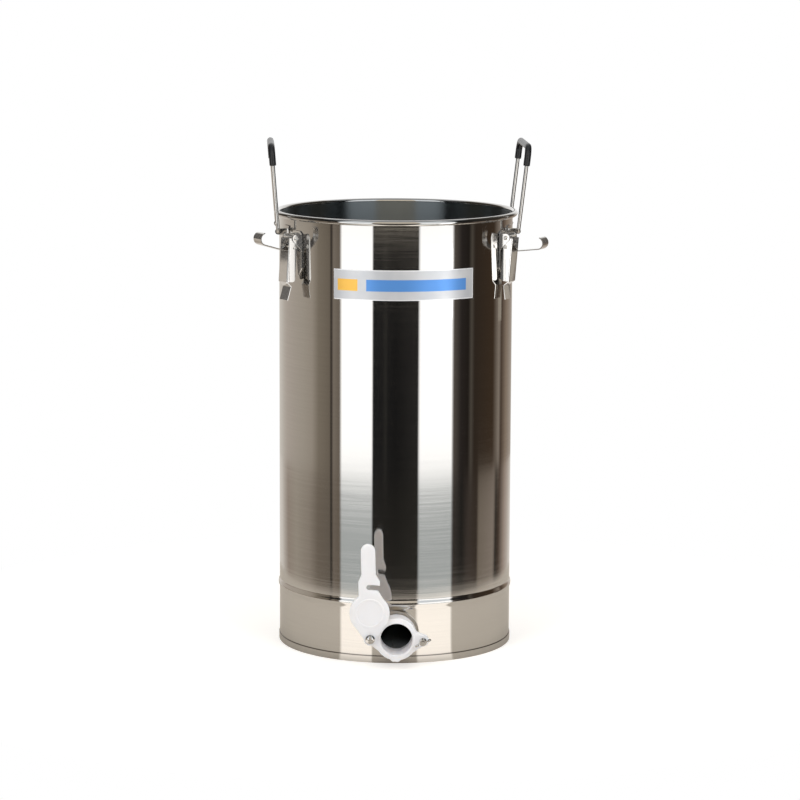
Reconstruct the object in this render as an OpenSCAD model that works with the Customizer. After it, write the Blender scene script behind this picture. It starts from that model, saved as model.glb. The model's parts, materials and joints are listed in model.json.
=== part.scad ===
// Honey settling tank: a stainless vessel with a rolled rim, a sliding-blade honey gate,
// three lid latches and two swing handles.
// Origin at the middle of the foot, on the floor. +Z is up and the gate faces -Y. Millimetres.

/* [Tank] */
// Outside diameter of the wall
tank_d = 300; // [280:1:340]
// Height from the floor to the top of the rolled rim
tank_h = 562; // [500:1:650]
// Thickness of the stainless sheet
sheet_t = 0.8; // [0.6:0.1:1]
// Outside diameter of the rolled rim
roll_d = 7.2; // [6.4:0.1:8]
// Height of the middle of the stiffening bead
bead_z = 75.5; // [75.5:0.5:100]
// Height of the stiffening bead from edge to edge
bead_h = 13.5; // [9:0.5:13.5]
// How far the stiffening bead stands out from the wall
bead_out = 1.5; // [0.8:0.1:1.6]
// Height of the folded seam that the tank stands on
seam_h = 9; // [7:0.5:10]
// Height of the tank's floor plate above the ground
floor_z = 10; // [8:0.5:14]

/* [Label] */
// Length of the blank label round the wall
label_w = 185.5; // [100:0.5:220]
// Height of the blank label
label_h = 38; // [25:0.5:60]
// Depth of the label's middle below the top of the rim
label_drop = 81.5; // [40:0.5:200]
// Turn of the label to the right of the gate, in degrees
label_turn = 3.7; // [-10:0.1:10]
// Thickness of the label
label_t = 0.3; // [0.2:0.05:0.5]

/* [Latches] */
// Turn of the ring of latches to the right of the gate, in degrees
latch_turn = 3.4; // [0:0.1:5]
// Depth of the lever's pivot below the top of the rim
latch_drop = 28.6; // [26:0.1:34]
// Distance of the lever's pivot from the wall
latch_off = 9.6; // [9:0.1:12]
// Outside width of the lever
lever_w = 21.2; // [19:0.2:24]
// Sheet thickness of the lever
lever_t = 1; // [0.8:0.1:1.2]
// Length of the lever's channel below its pivot
lever_l = 55; // [48:1:64]
// Depth of the lever's channel
lever_d = 12; // [11:0.1:12]
// Length of the lever's thumb tail below the channel
tail_l = 23; // [18:1:28]
// Width of the thumb tail
tail_w = 18.4; // [14:0.2:19]
// Diameter of the rivet that carries the lever
rivet_d = 4; // [3:0.1:4.4]
// Distance of the hook's pin below the rivet
pin_drop = 11.7; // [11.2:0.1:13]
// Diameter of the hook's pin
pin_d = 3.6; // [3:0.1:4]
// Sheet thickness of the hook and of the base with its ears
latch_t = 1.2; // [1:0.1:1.5]
// Length of the hook from its pin to the outside of its curl
hook_l = 51; // [44:1:58]
// Radius of the hook's curl, at the middle of its sheet
hook_r = 7.5; // [6:0.1:9]
// Depth of the hook's strap below its pin
hook_sink = 6.2; // [5.4:0.1:6.4]
// Rise of the resting hook above level, in degrees
hook_rise = 12; // [8:0.5:16]
// Lean of each hanging lever's tail away from the wall, in degrees
lever_lean = [4, -5, -5];

/* [Handles] */
// Turn of the pair of handles to the right of the gate, in degrees
handle_turn = 2.2; // [0:0.1:4]
// Diameter of the handle's wire
wire_d = 5; // [4:0.1:5.6]
// Distance between the legs of a handle, as a share of the tank's diameter
handle_share = 0.4; // [0.36:0.01:0.41]
// Height from the pivot to the top bar
handle_h = 108; // [90:1:130]
// Radius of the handle's top corners, at the middle of the wire
corner_r = 13; // [10:0.5:20]
// Depth of the handle's pivot below the top of the rim
handle_drop = 23.4; // [21:0.1:30]
// Distance of the handle's plane from the wall
handle_off = 2.3; // [2.2:0.1:6]
// Outside diameter of the plastic grip
grip_d = 8.5; // [7.4:0.1:9]
// Length of grip on each leg, from the top bar down
grip_leg = 24; // [22:0.5:32]
// Thickness of the pivot ears
ear_t = 3; // [2:0.1:4]
// Lean of each handle away from the tank, in degrees
handle_lean = [4.4, 6.6];

/* [Gate] */
// Height of the gate's bore above the ground
gate_z = 40; // [39.5:0.1:40]
// Roll of the gate on its thread, right side down, in degrees
gate_roll = 2.5; // [0:0.1:5]
// Diameter of the gate's bore
bore_d = 40.4; // [38:0.1:41]
// Outside diameter of the outlet ferrule welded on the wall
ferrule_d = 57.4; // [55:0.1:57.4]
// Length of the ferrule in front of the tank's wall line
ferrule_l = 7; // [5:0.5:10]
// Outside diameter of the gate's threaded spigot, which is screwed into the ferrule
spigot_d = 47.8; // [46:0.1:48.4]
// Thickness of the gate's gasket
gasket_t = 2; // [1.5:0.1:2.5]
// Outside diameter of the gate's barrel
barrel_d = 51; // [49.5:0.1:52]
// Distance of the gate's front face from the tank's wall line
gate_l = 40; // [38:0.5:46]
// Outside diameter of the gate's front flange
flange_d = 53.6; // [53:0.1:54.4]
// Thickness of the gate's front flange
flange_t = 6; // [4:0.5:7]
// Distance between the pivot screw and the clamp bolt
bolt_span = 66; // [65:0.5:70]
// Radius of the flange's ears round the screw and the bolt
ear_r = 7.6; // [6.5:0.1:9]
// Height of the sealing lip round the bore
lip_h = 0.8; // [0.5:0.1:1.2]
// Thickness of the blade
blade_t = 5; // [4:0.5:6]
// Diameter of the blade's disc
disc_d = 50.2; // [46:0.2:51]
// Length of the blade from the pivot to the handle's tip
blade_l = 121; // [108:1:132]
// Width of the blade's handle
blade_w = 18; // [14:0.5:20]
// Opening of the blade from closed in the resting pose, in degrees
blade_open = 94; // [80:1:100]
// Diameter of the gate's screw and bolt
screw_d = 5; // [4.6:0.1:5.4]
// Span of the wing nut from tip to tip
wing_span = 21.4; // [18:0.2:24]
// Turn of the wing nut's wings from level, in degrees
wing_turn = 27; // [0:1:90]

/* [Hidden] */
$fn = 96;
// Gap of a folded, welded or glued joint
joint_gap = 0.05;
// Radial clearance of a pin in its hole
pin_gap = 0.05;
// Gap between faces that pass each other
pass_gap = 0.3;
// Overlap that joins two shapes of one piece
bite = 0.2;

tank_r = tank_d / 2;
roll_r = roll_d / 2;
// Middle of the rolled rim, as radius and height. It is rolled outward, so the inside stays smooth
roll_at = [tank_r - sheet_t + roll_r, tank_h - roll_r];
// The rolled edge of the sheet stops short of the wall by this slot, in this direction from the roll's middle
roll_slot = 0.5;
roll_slot_at = -120;
bead_steps = 24;

latch_names = ["left", "right", "back"];
latch_angles = [for (a = [-60, 60, 180]) a + latch_turn];
// Rivet of the lever, as distance from the tank's axis and height
rivet_at = [tank_r + latch_off, tank_h - latch_drop];
// The pin sits a little further out than the rivet
pin_out = 0.25;
pin_at = rivet_at + [pin_out, -pin_drop];
lever_half = lever_w / 2;
// Outer face of the lever's web, from the rivet
web_out = 9;
channel_bend = 2;
base_half = lever_half + pass_gap + latch_t;
// The flat base plate stands off the round wall by its spot welds
weld_gap = 0.25;
base_back = tank_r + weld_gap;
// The tip of each ear goes round the rivet
ear_tip_r = rivet_d / 2 + 3;
plate_up = 8.6;
plate_down = 48;
plate_point = 10;
hook_half = lever_half - lever_t - 0.9;
hook_rest_gap = pass_gap;
strap_under = hook_sink + latch_t / 2;
// Height of the web's top edge that the resting hook lies on, from the rivet
web_top = -pin_drop - strap_under / cos(hook_rise)
    + (web_out - lever_t - pin_out) * tan(hook_rise) - hook_rest_gap;
hook_turn = 150;
tail_in = 7.2;
tail_step = 6;
tail_back = 4;

handle_names = ["left", "right"];
handle_angles = [for (a = [-90, 90]) a + handle_turn];
wire_r = wire_d / 2;
foot_bend = 5;
// Pivot of the handle, as distance from the tank's axis and height
handle_at = [tank_r + handle_off, tank_h - handle_drop];
handle_w = handle_share * tank_d;
leg_half = handle_w / 2;
ear_face = leg_half - foot_bend - pass_gap;
ear_round = wire_r + 1.4;
foot_t = 1.5;
foot_w = tank_d / 23;
foot_up = 8;
foot_down = 12;
peen_t = 1.5;
peen_r = wire_r + 0.9;

bore_r = bore_d / 2;
ferrule_r = ferrule_d / 2;
// Depth behind the wall line that the ferrule is drawn from before its saddle is cut to the wall
ferrule_in = 5;
ferrule_end = tank_r + ferrule_l;
spigot_r = spigot_d / 2;
gate_seat = ferrule_end + gasket_t;
gate_face = tank_r + gate_l;
// The spigot stops a little in front of the wall line
gate_back = tank_r + 2;
thread_gap = 0.1;
bolt_half = bolt_span / 2;
blade_back = gate_face + lip_h + pass_gap;
blade_front = blade_back + blade_t;
screw_r = screw_d / 2;
head_r = screw_r + 3.5;
head_h = 3.2;
nut_r = screw_r + 2.1;
nut_t = 4;
slot_r = screw_r + 0.9;
emboss_h = 0.6;
wing_base = blade_front + 0.5;
wing_h = 9.5;
hub_h = 6.5;
wing_t = 2;

// Stands a flat shape drawn as sideways and up on a plane that faces outward
module outward(start, depth) {
    rotate([90, 0, 0]) translate([0, 0, start]) linear_extrude(depth) children();
}

// Stands a flat shape drawn as outward and up on edge, sideways from start
module sideways(start, width) {
    rotate([0, 0, -90]) rotate([90, 0, 0]) translate([0, 0, -start - width]) linear_extrude(width) children();
}

// Repeats a sideways plate on both sides of the middle
module both_sides(start, width) {
    sideways(start, width) children();
    sideways(-start - width, width) children();
}

// Swings a shape about a sideways axis, lower end outward
module swing(at, angle) {
    translate([0, -at[0], at[1]]) rotate([-angle, 0, 0]) translate([0, at[0], -at[1]]) children();
}

// Straight round bar along the sideways axis
module cross_bar(at, r, half) {
    translate([0, -at[0], at[1]]) rotate([0, 90, 0]) cylinder(r = r, h = 2 * half, center = true);
}

// Strip of sheet between two points of a side view
module strip(from, to, t) {
    run = to - from;
    translate(from) rotate(atan2(run[1], run[0])) translate([0, -t / 2]) square([norm(run), t]);
    translate(to) circle(d = t);
}

// Round head of a rivet, drawn upward from its seat
module domed_head(r, h) {
    ball = (r * r + h * h) / (2 * h);
    rotate_extrude() intersection() {
        translate([0, h - ball]) circle(ball);
        square([r, h]);
    }
}

// Rivet or pin along the sideways axis with a domed head on each end
module headed_pin(at, r, half, head_r, head_h) {
    cross_bar(at, r, half + bite);
    for (side = [-1, 1]) {
        translate([side * half, -at[0], at[1]]) rotate([0, side * 90, 0]) domed_head(head_r, head_h);
    }
}

// The stiffening bead is a raised cosine
function bead(z) = abs(z - bead_z) < bead_h / 2 ? bead_out * (1 + cos(360 * (z - bead_z) / bead_h)) / 2 : 0;

module tank_shell() {
    heights = concat([sheet_t],
        [for (i = [0:bead_steps]) bead_z + bead_h * (i / bead_steps - 0.5)],
        [roll_at[1] - sheet_t]);
    outer = [for (z = heights) [tank_r + bead(z), z]];
    inner = [for (i = [len(heights) - 1:-1:0]) [tank_r - sheet_t + bead(heights[i]), heights[i]]];
    color("silver") difference() {
        rotate_extrude() {
            polygon(concat(outer, inner));
            translate(roll_at) difference() {
                circle(roll_r);
                circle(roll_r - sheet_t);
                rotate(roll_slot_at) translate([0, -roll_slot / 2]) square([roll_r + bite, roll_slot]);
            }
        }
        gate_frame() translate([0, 0, tank_r / 2]) cylinder(r = spigot_r + thread_gap, h = tank_r);
    }
}

module rim_wire() {
    color("gray") rotate_extrude() translate(roll_at) circle(roll_r - sheet_t - joint_gap);
}

module tank_bottom() {
    chuck_out = tank_r - sheet_t - joint_gap;
    chuck_in = chuck_out - sheet_t;
    hem_in = tank_r + joint_gap;
    hem_out = hem_in + sheet_t;
    soft = sheet_t / 2;
    color("silver") rotate_extrude() polygon([
        [0, floor_z], [chuck_in, floor_z], [chuck_in, 0], [hem_out - soft, 0], [hem_out, soft],
        [hem_out, seam_h - soft], [hem_out - soft, seam_h], [hem_in, seam_h], [hem_in, sheet_t],
        [chuck_out, sheet_t], [chuck_out, floor_z + sheet_t], [0, floor_z + sheet_t]]);
}

module label_plate() {
    span = label_w / tank_r * 180 / PI;
    color("gainsboro") rotate([0, 0, label_turn - 90 - span / 2]) rotate_extrude(angle = span)
        translate([tank_r + joint_gap, tank_h - label_drop - label_h / 2]) square([label_t, label_h]);
}

// Gate frame: sideways, up, and outward from the tank's axis
module gate_frame() {
    translate([0, 0, gate_z]) rotate([0, gate_roll, 0]) rotate([90, 0, 0]) children();
}

// Threaded ring whose back is cut to the round wall that it is welded on
module outlet_ferrule() {
    start = tank_r - ferrule_in;
    color("silver") difference() {
        gate_frame() translate([0, 0, start]) difference() {
            cylinder(r = ferrule_r, h = ferrule_end - start);
            translate([0, 0, -1]) cylinder(r = spigot_r + thread_gap, h = ferrule_end - start + 2);
        }
        cylinder(r = tank_r + joint_gap, h = tank_h);
    }
}

module gate_gasket() {
    color("dimgray") gate_frame() translate([0, 0, ferrule_end]) difference() {
        cylinder(d = barrel_d - 1, h = gasket_t);
        translate([0, 0, -1]) cylinder(r = spigot_r + joint_gap, h = gasket_t + 2);
    }
}

// Outline of the gate's front flange with its two ears and the drip tab below
module flange_outline() {
    // Where the edges of each ear run into the round flange, below and above
    low_root = bolt_half * 0.4;
    low_root_h = flange_d * 0.41;
    top_root = bolt_half * 0.65;
    top_root_h = flange_d * 0.22;
    tab_top = flange_d / 2 - 2;
    tab_h = 4;
    tab_root = 8.5;
    tab_end = 3.6;
    circle(d = flange_d);
    for (side = [-1, 1]) {
        translate([side * bolt_half, 0]) circle(ear_r);
        polygon([[side * bolt_half, ear_r], [side * bolt_half, -ear_r], [side * low_root, -low_root_h],
            [side * low_root, top_root_h], [side * top_root, top_root_h]]);
    }
    polygon([[-tab_root, -tab_top], [tab_root, -tab_top], [tab_end, -tab_top - tab_h],
        [-tab_end, -tab_top - tab_h]]);
}

module gate_body() {
    color("white") gate_frame() difference() {
        union() {
            translate([0, 0, gate_back]) cylinder(r = spigot_r, h = gate_seat - gate_back + bite);
            translate([0, 0, gate_seat]) cylinder(d = barrel_d, h = gate_face - gate_seat);
            translate([0, 0, gate_face - flange_t]) linear_extrude(flange_t) flange_outline();
            translate([0, 0, gate_face - bite]) cylinder(r = bore_r + 2.2, h = lip_h + bite);
            translate([-bolt_half, 0, gate_face - bite]) cylinder(r = ear_r - 1, h = lip_h + bite);
        }
        cylinder(r = bore_r, h = 2 * gate_face);
        for (side = [-1, 1]) {
            translate([side * bolt_half, 0, 0]) cylinder(r = screw_r + pin_gap, h = 2 * gate_face);
        }
    }
}

// Outline of the closed blade, from the pivot towards the clamp bolt
module blade_outline() {
    neck = bolt_half / 2;
    grip_half = blade_w / 2;
    // The flare round the slot, along and across the handle, in steps of the handle's half width
    flare_end = bolt_span + 1.8 * grip_half;
    flare_top = bolt_span + 0.8 * grip_half;
    flare_root = bolt_span - 1.8 * grip_half;
    flare_side = 1.45 * grip_half;
    beak = 1.55 * grip_half;
    heel = 1.2 * grip_half;
    cheek = 2 * grip_half;
    difference() {
        union() {
            circle(ear_r + 0.4);
            translate([bolt_half, 0]) circle(d = disc_d);
            polygon([[0, ear_r], [neck, disc_d * 0.37], [neck, -disc_d * 0.37], [0, -ear_r]]);
            translate([bolt_half, -grip_half]) square([blade_l - grip_half - bolt_half, blade_w]);
            translate([blade_l - grip_half, 0]) circle(grip_half);
            polygon([[flare_end, grip_half], [flare_top, flare_side], [flare_root, flare_side],
                [flare_root, -cheek], [bolt_span - heel, -flare_side * 1.15], [bolt_span - slot_r, -heel],
                [bolt_span + slot_r, -beak], [flare_top, -beak], [flare_end, -grip_half]]);
        }
        circle(screw_r + pin_gap);
        translate([bolt_span, 0]) circle(slot_r);
        intersection() {
            difference() {
                circle(bolt_span + slot_r);
                circle(bolt_span - slot_r);
            }
            polygon([[0, 0], [blade_l, 0], [blade_l, -blade_l / 2]]);
        }
    }
}

module gate_blade() {
    color("whitesmoke") gate_frame() translate([-bolt_half, 0, blade_back]) rotate(blade_open) {
        linear_extrude(blade_t) blade_outline();
        translate([bolt_half, 0, blade_t - bite]) linear_extrude(emboss_h + bite) difference() {
            circle(d = disc_d * 0.74);
            circle(d = disc_d * 0.64);
        }
    }
}

module pivot_screw() {
    seat = blade_front + pass_gap;
    tail = gate_face - flange_t - nut_t - 1;
    color("silver") gate_frame() translate([-bolt_half, 0, 0]) difference() {
        union() {
            translate([0, 0, tail]) cylinder(r = screw_r, h = seat - tail + bite);
            translate([0, 0, seat]) domed_head(head_r, head_h);
        }
        for (turn = [0, 90]) {
            translate([0, 0, seat + head_h]) rotate(turn) cube([7, 1.3, 2.4], center = true);
        }
    }
}

module pivot_nut() {
    color("silver") gate_frame() translate([-bolt_half, 0, gate_face - flange_t - nut_t]) difference() {
        cylinder(r = nut_r, h = nut_t, $fn = 6);
        translate([0, 0, -1]) cylinder(r = screw_r + pin_gap, h = nut_t + 2);
    }
}

module clamp_bolt() {
    seat = gate_face - flange_t;
    tip = wing_base + hub_h + 1.5;
    color("silver") gate_frame() translate([bolt_half, 0, seat - nut_t]) {
        cylinder(r = nut_r, h = nut_t, $fn = 6);
        cylinder(r = screw_r, h = tip - seat + nut_t);
    }
}

module wing_nut() {
    reach = wing_span / 2;
    color("silver") gate_frame() translate([bolt_half, 0, wing_base]) rotate(wing_turn) difference() {
        union() {
            cylinder(r1 = screw_r + 2.6, r2 = screw_r + 1.6, h = hub_h);
            for (side = [0, 180]) {
                rotate(side) rotate([90, 0, 0]) translate([0, 0, -wing_t / 2]) linear_extrude(wing_t) {
                    translate([reach - 2.4, wing_h - 2.4]) circle(2.4);
                    polygon([[screw_r, 0.8], [screw_r + 2.6, 0.8], [reach, wing_h - 3],
                        [reach - 2.4, wing_h], [screw_r, hub_h - 1]]);
                }
            }
        }
        translate([0, 0, -1]) cylinder(r = screw_r + pin_gap, h = wing_h + 2);
    }
}

module latch_rivets() {
    color("silver") for (angle = latch_angles) {
        rotate(angle) headed_pin(rivet_at, rivet_d / 2, base_half, rivet_d / 2 + 1.1, 1.3);
    }
}

// Base plate on the wall with two ears that carry the lever's rivet
module latch_base(angle) {
    slant = ear_tip_r * sin(45);
    reach = rivet_at[0] - base_back;
    color("darkgray") rotate(angle) difference() {
        union() {
            outward(base_back, latch_t) translate([0, rivet_at[1]]) polygon([
                [-base_half, plate_up - 4], [-base_half + 5, plate_up], [base_half - 5, plate_up],
                [base_half, plate_up - 4], [base_half, plate_point - plate_down], [4, -plate_down],
                [-4, -plate_down], [-base_half, plate_point - plate_down]]);
            both_sides(base_half - latch_t, latch_t) translate(rivet_at) {
                circle(ear_tip_r);
                polygon([[0, ear_tip_r], [slant, -slant], [-reach, -2 * slant - reach],
                    [-reach, plate_up - 4]]);
            }
        }
        cross_bar(rivet_at, rivet_d / 2 + pin_gap, base_half + 1);
    }
}

// Channel-section lever with a cut-out above its web and a bent thumb tail, drawn hanging straight
module latch_lever(angle, lean) {
    web_mid = web_out - lever_t / 2;
    lug_r = rivet_d / 2 + 2.6;
    soft = 4;
    color("lightgray") rotate(angle) swing(rivet_at, lean) {
        difference() {
            intersection() {
                translate([0, -rivet_at[0], rivet_at[1] - lever_l]) linear_extrude(lever_l + lug_r) channel_section();
                sideways(-lever_half, lever_w) translate(rivet_at) {
                    circle(lug_r);
                    translate([web_out - lever_d, soft - lever_l]) square([lever_d, lever_l - soft]);
                    translate([web_out - lever_d + soft, -lever_l]) square([lever_d - soft, soft + bite]);
                    translate([web_out - lever_d + soft, soft - lever_l]) circle(soft);
                }
            }
            sideways(lever_t - lever_half, lever_w - 2 * lever_t) translate(rivet_at)
                translate([web_out - lever_t - 1, web_top]) square([lever_t + 2, -web_top + 2 * lug_r]);
            cross_bar(rivet_at, rivet_d / 2 + pin_gap, lever_half + 1);
            cross_bar(pin_at, pin_d / 2 + pin_gap, lever_half + 1);
        }
        sideways(-tail_w / 2, tail_w) translate(rivet_at) {
            strip([web_mid, bite - lever_l], [web_mid - tail_in, -lever_l - tail_step], lever_t);
            strip([web_mid - tail_in, -lever_l - tail_step], [web_mid - tail_in + tail_back, -lever_l - tail_l], lever_t);
        }
    }
}

// Plan of the lever's channel: two flanges and a web with rounded outer corners
module channel_section() {
    back = -web_out;
    depth = web_out + rivet_d + 2;
    difference() {
        union() {
            translate([-lever_half, back + channel_bend]) square([lever_w, depth]);
            translate([channel_bend - lever_half, back]) square([lever_w - 2 * channel_bend, channel_bend + bite]);
            for (side = [-1, 1]) {
                translate([side * (lever_half - channel_bend), back + channel_bend]) circle(channel_bend);
            }
        }
        translate([lever_t - lever_half, back + lever_t]) square([lever_w - 2 * lever_t, depth + channel_bend]);
    }
}

module hook_pin(angle, lean) {
    color("silver") rotate(angle) swing(rivet_at, lean)
        headed_pin(pin_at, pin_d / 2, lever_half, pin_d / 2 + 0.7, 0.9);
}

// Strap with two ears on the pin and a curled end, drawn level and then raised
module latch_hook(angle, lean) {
    straight = hook_l - hook_r - latch_t / 2;
    root = -2;
    lug_r = pin_d / 2 + 1.6;
    color("lightgray") rotate(angle) swing(rivet_at, lean) swing(pin_at, hook_rise) difference() {
        union() {
            sideways(-hook_half, 2 * hook_half) translate(pin_at) {
                translate([root, -strap_under]) square([straight - root, latch_t]);
                translate([straight, hook_r - hook_sink]) {
                    intersection() {
                        difference() {
                            circle(hook_r + latch_t / 2);
                            circle(hook_r - latch_t / 2);
                        }
                        polygon([[0, 0], [0, -2 * hook_r], [3 * hook_r, -2 * hook_r], [3 * hook_r, 2 * hook_r],
                            2 * hook_r * [sin(hook_turn), -cos(hook_turn)]]);
                    }
                    translate(hook_r * [sin(hook_turn), -cos(hook_turn)]) circle(d = latch_t);
                }
            }
            both_sides(hook_half - latch_t, latch_t) translate(pin_at) {
                circle(lug_r);
                polygon([[-lug_r, 0], [root, -hook_sink], [8, -hook_sink], [lug_r, 0]]);
            }
        }
        cross_bar(pin_at, pin_d / 2 + pin_gap, hook_half + 1);
    }
}

// Two ears with feet that follow the wall
module handle_ears(angle) {
    color("darkgray") rotate(angle) for (side = [-1, 1]) {
        start = side > 0 ? ear_face - ear_t : -ear_face;
        mid = asin((ear_face - ear_t / 2) / tank_r);
        span = foot_w / tank_r * 180 / PI;
        difference() {
            sideways(start, ear_t) translate(handle_at) {
                circle(ear_round);
                translate([-tank_r / 4, -ear_round]) square([tank_r / 4, 2 * ear_round]);
            }
            cylinder(r = tank_r + foot_t - bite, h = tank_h);
            cross_bar(handle_at, wire_r + pin_gap, leg_half);
        }
        rotate([0, 0, side * mid - 90 - span / 2]) rotate_extrude(angle = span)
            translate([tank_r + joint_gap, handle_at[1] - foot_down]) square([foot_t - joint_gap, foot_up + foot_down]);
    }
}

// Quarter bend in the plane of a handle, from a leg towards the middle
module wire_bend(side, level, r, facing) {
    translate([side * (leg_half - r), 0, level]) rotate([90, 0, 0])
        rotate((side > 0 ? 0 : 180) + (side * facing > 0 ? 0 : -90)) rotate_extrude(angle = 90)
            translate([r, 0]) children();
}

// Places a handle's upright frame at its pivot and leans it outward
module handle_frame(angle, lean) {
    rotate(angle) translate([0, -handle_at[0], handle_at[1]]) rotate([lean, 0, 0]) children();
}

module handle_bail(angle, lean) {
    color("silver") handle_frame(angle, lean) {
        for (side = [-1, 1]) {
            translate([side * leg_half, 0, foot_bend]) cylinder(r = wire_r, h = handle_h - foot_bend - corner_r);
            wire_bend(side, handle_h - corner_r, corner_r, 1) circle(wire_r);
            wire_bend(side, foot_bend, foot_bend, -1) circle(wire_r);
            translate([side * (leg_half - foot_bend), 0, 0]) rotate([0, -side * 90, 0]) {
                cylinder(r = wire_r, h = ear_t + 2 * pass_gap + peen_t);
                translate([0, 0, ear_t + 2 * pass_gap]) domed_head(peen_r, peen_t);
            }
        }
        translate([0, 0, handle_h]) rotate([0, 90, 0])
            cylinder(r = wire_r, h = handle_w - 2 * corner_r, center = true);
    }
}

module grip_ring() {
    difference() {
        circle(d = grip_d);
        circle(wire_r + joint_gap);
    }
}

module handle_grip(angle, lean) {
    color([0.1, 0.1, 0.11]) handle_frame(angle, lean) {
        for (side = [-1, 1]) {
            translate([side * leg_half, 0, handle_h - grip_leg]) linear_extrude(grip_leg - corner_r) grip_ring();
            wire_bend(side, handle_h - corner_r, corner_r, 1) grip_ring();
        }
        translate([corner_r - leg_half, 0, handle_h]) rotate([0, 90, 0])
            linear_extrude(handle_w - 2 * corner_r) grip_ring();
    }
}

tank_shell();
rim_wire();
tank_bottom();
label_plate();
outlet_ferrule();
gate_gasket();
gate_body();
gate_blade();
pivot_screw();
pivot_nut();
clamp_bolt();
wing_nut();
latch_rivets();
for (i = [0:2]) {
    latch_base(latch_angles[i]);
    latch_lever(latch_angles[i], lever_lean[i]);
    hook_pin(latch_angles[i], lever_lean[i]);
    latch_hook(latch_angles[i], lever_lean[i]);
}
for (i = [0:1]) {
    handle_ears(handle_angles[i]);
    handle_bail(handle_angles[i], handle_lean[i]);
    handle_grip(handle_angles[i], handle_lean[i]);
}
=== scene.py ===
"""Honey settling tank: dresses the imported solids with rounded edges, finishes and a small studio."""
import json
import math

import bmesh
import bpy
from bpy.props import FloatProperty, FloatVectorProperty, PointerProperty
from mathutils import Matrix, Vector


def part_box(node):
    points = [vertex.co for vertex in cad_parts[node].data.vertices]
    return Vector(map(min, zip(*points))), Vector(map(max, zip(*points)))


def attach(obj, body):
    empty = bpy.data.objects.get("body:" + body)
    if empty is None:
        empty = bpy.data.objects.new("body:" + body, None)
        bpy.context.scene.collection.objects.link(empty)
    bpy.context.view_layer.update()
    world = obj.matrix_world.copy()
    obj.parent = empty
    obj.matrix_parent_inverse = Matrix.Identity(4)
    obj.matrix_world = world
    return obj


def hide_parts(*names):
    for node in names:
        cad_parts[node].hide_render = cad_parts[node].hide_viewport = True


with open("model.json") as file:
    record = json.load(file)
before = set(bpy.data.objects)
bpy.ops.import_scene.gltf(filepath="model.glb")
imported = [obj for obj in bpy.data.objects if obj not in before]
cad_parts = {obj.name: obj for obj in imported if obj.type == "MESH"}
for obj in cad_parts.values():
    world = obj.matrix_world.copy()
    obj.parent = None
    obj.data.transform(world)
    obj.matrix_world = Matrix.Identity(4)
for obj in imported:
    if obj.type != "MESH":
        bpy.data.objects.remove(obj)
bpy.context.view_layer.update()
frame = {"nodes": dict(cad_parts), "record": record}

bl_info = {
    "name": "Honey Settling Tank",
    "version": (1, 0, 0),
    "blender": (4, 5, 0),
    "location": "View3D > Sidebar > Honey Tank",
    "description": "Finishes a stainless honey tank with its gate, latches and handles",
    "category": "Object",
}

MM = 0.001
LATCH_SIDES = ("left", "right", "back")
HANDLE_SIDES = ("left", "right")
LABEL_LOW, LABEL_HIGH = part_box("label_plate")
BEHAVIOUR = frame["record"]["behaviour"]
JOINTS = {joint["name"]: joint for joint in BEHAVIOUR["joints"]}
MOUNTS = {mount["name"]: mount for mount in frame["record"]["mounts"]}
# Section of the wall, its bead, rolled rim and folded seam
WALL_R = 150 * MM
WALL_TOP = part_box("tank_shell")[1].z
SHEET_T = 0.8 * MM
WALL_MIDDLE = WALL_R - SHEET_T / 2
BEAD_Z = 75.5 * MM
BEAD_H = 13.5 * MM
BEAD_OUT = 1.5 * MM
ROLL_R = 3.6 * MM
# The sheet rolls round from one of these angles in degrees to the other
ROLL_START = -115
ROLL_END = 235
SEAM_H = 9 * MM
FLOOR_Z = 10 * MM
JOINT_GAP = 0.05 * MM
PAN_BEND = 4 * MM
# The pan's section stops just short of the axis
AXIS_GAP = 0.01 * MM
OUTLET_Z = MOUNTS["outlet"]["pos_m"][2]
OUTLET_R = 24 * MM
# The inside is dull near the rim, where hands and strainers rub it, and bright further down
INSIDE_ROUGHNESS = 0.29
DULL_LOW = 400 * MM
DULL_HIGH = 530 * MM
# Rolling lines are far finer in life. These are as coarse as they need to be to show.
LINE_GAP = 1.6 * MM
LINE_LENGTH = 125 * MM
# The weld up the back and the painted shade line in the seam are solid near their middles and fade out by
# these distances
WELD_SOLID = 0.5 * MM
WELD_END = 1.1 * MM
WELD_ROUGHNESS = 0.3
SEAM_SHADE_SOLID = 0.4 * MM
SEAM_SHADE_END = 1.1 * MM
TOOL_RING_GAP = 0.6 * MM
# Shape of the handles' bent wire, in its own upright plane with the pivot at the origin
WIRE_R = 2.5 * MM
LEG_HALF = 60 * MM
HANDLE_TOP = 108 * MM
CORNER_R = 13 * MM
FOOT_BEND = 5 * MM
PIN_L = 3.6 * MM
PEEN_R = 3.4 * MM
PEEN_T = 1.5 * MM
# The head's dome stops this many degrees short of its tip, and its underside steps in over this length
PEEN_FLAT = 10
PEEN_STEP = 0.01 * MM
GRIP_R = 4.25 * MM
GRIP_LOW = HANDLE_TOP - 24 * MM
GRIP_EDGE = 1.2 * MM
# How far each handle leans outward at rest
HANDLE_LEANS = {"left": math.radians(4.4), "right": math.radians(6.6)}
# Places of the label's field and print, as shares of its length and of its height
LABEL_FIELD = ((0.008, 0.992), (0.03, 0.97))
LABEL_BAND = (0.26, 0.94)
LABEL_BLOCK = (0.06, 0.2)
LABEL_ROWS = (0.3, 0.68)
# In copies of the solids, closer points are joined, flatter edges are dissolved and sharper ones rounded.
# Faces that meet at less than the last angle are shaded as one.
JOIN_GAP = 0.002 * MM
FLAT_ANGLE = math.radians(0.4)
ROUND_ANGLE = math.radians(35)
SMOOTH_ANGLE = math.radians(40)


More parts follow.
